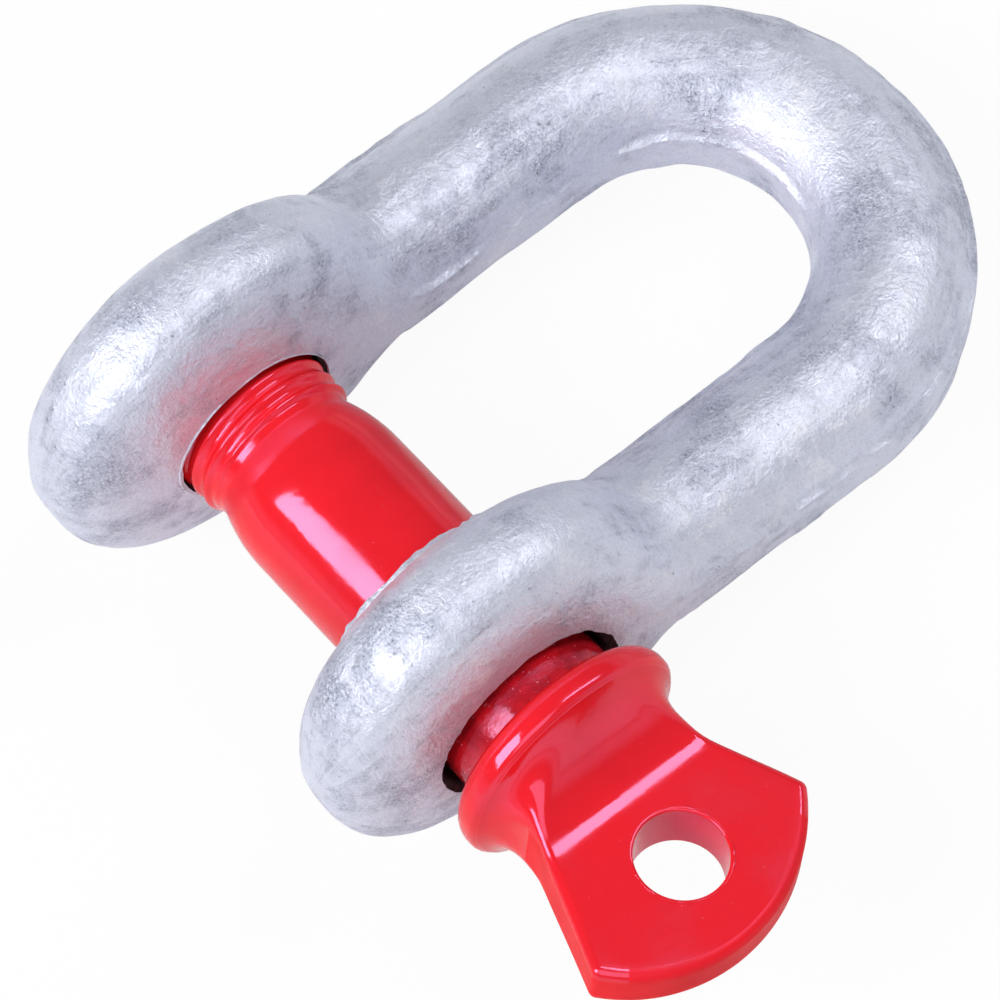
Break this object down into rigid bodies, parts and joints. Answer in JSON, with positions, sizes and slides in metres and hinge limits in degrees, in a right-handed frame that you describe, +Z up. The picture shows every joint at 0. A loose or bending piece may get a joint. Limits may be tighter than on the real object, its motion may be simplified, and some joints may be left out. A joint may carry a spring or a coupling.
{
  "type": "screw pin chain shackle",
  "caption": "Forged U-shaped galvanised shackle with thick round eyes, closed by a red screw pin whose flat eared head is pierced, for joining chain.",
  "frame": {"origin": "on the pin's axis, midway between the eyes", "axes": "+X along the pin towards its head, +Y from the pin towards the crown of the bow, +Z up; the bow lies on its eyes and crown, so its plane tips down towards the crown"},
  "size_m": [0.0909, 0.0941, 0.0418],
  "materials": {
    "galvanised_steel": "hot-dip galvanised, mottled pale grey, satin with bright patches",
    "red_paint": "thick glossy red paint"
  },
  "bodies": {
    "shackle": {"shackle_body": "galvanised_steel"},
    "pin": {"screw_pin": "red_paint"}
  },
  "joints": [
    {"name": "pin_withdraw", "type": "slide", "parent": "shackle", "child": "pin", "axis": [1, 0, 0], "range_m": [-0.00248, 0.065]}
  ]
}
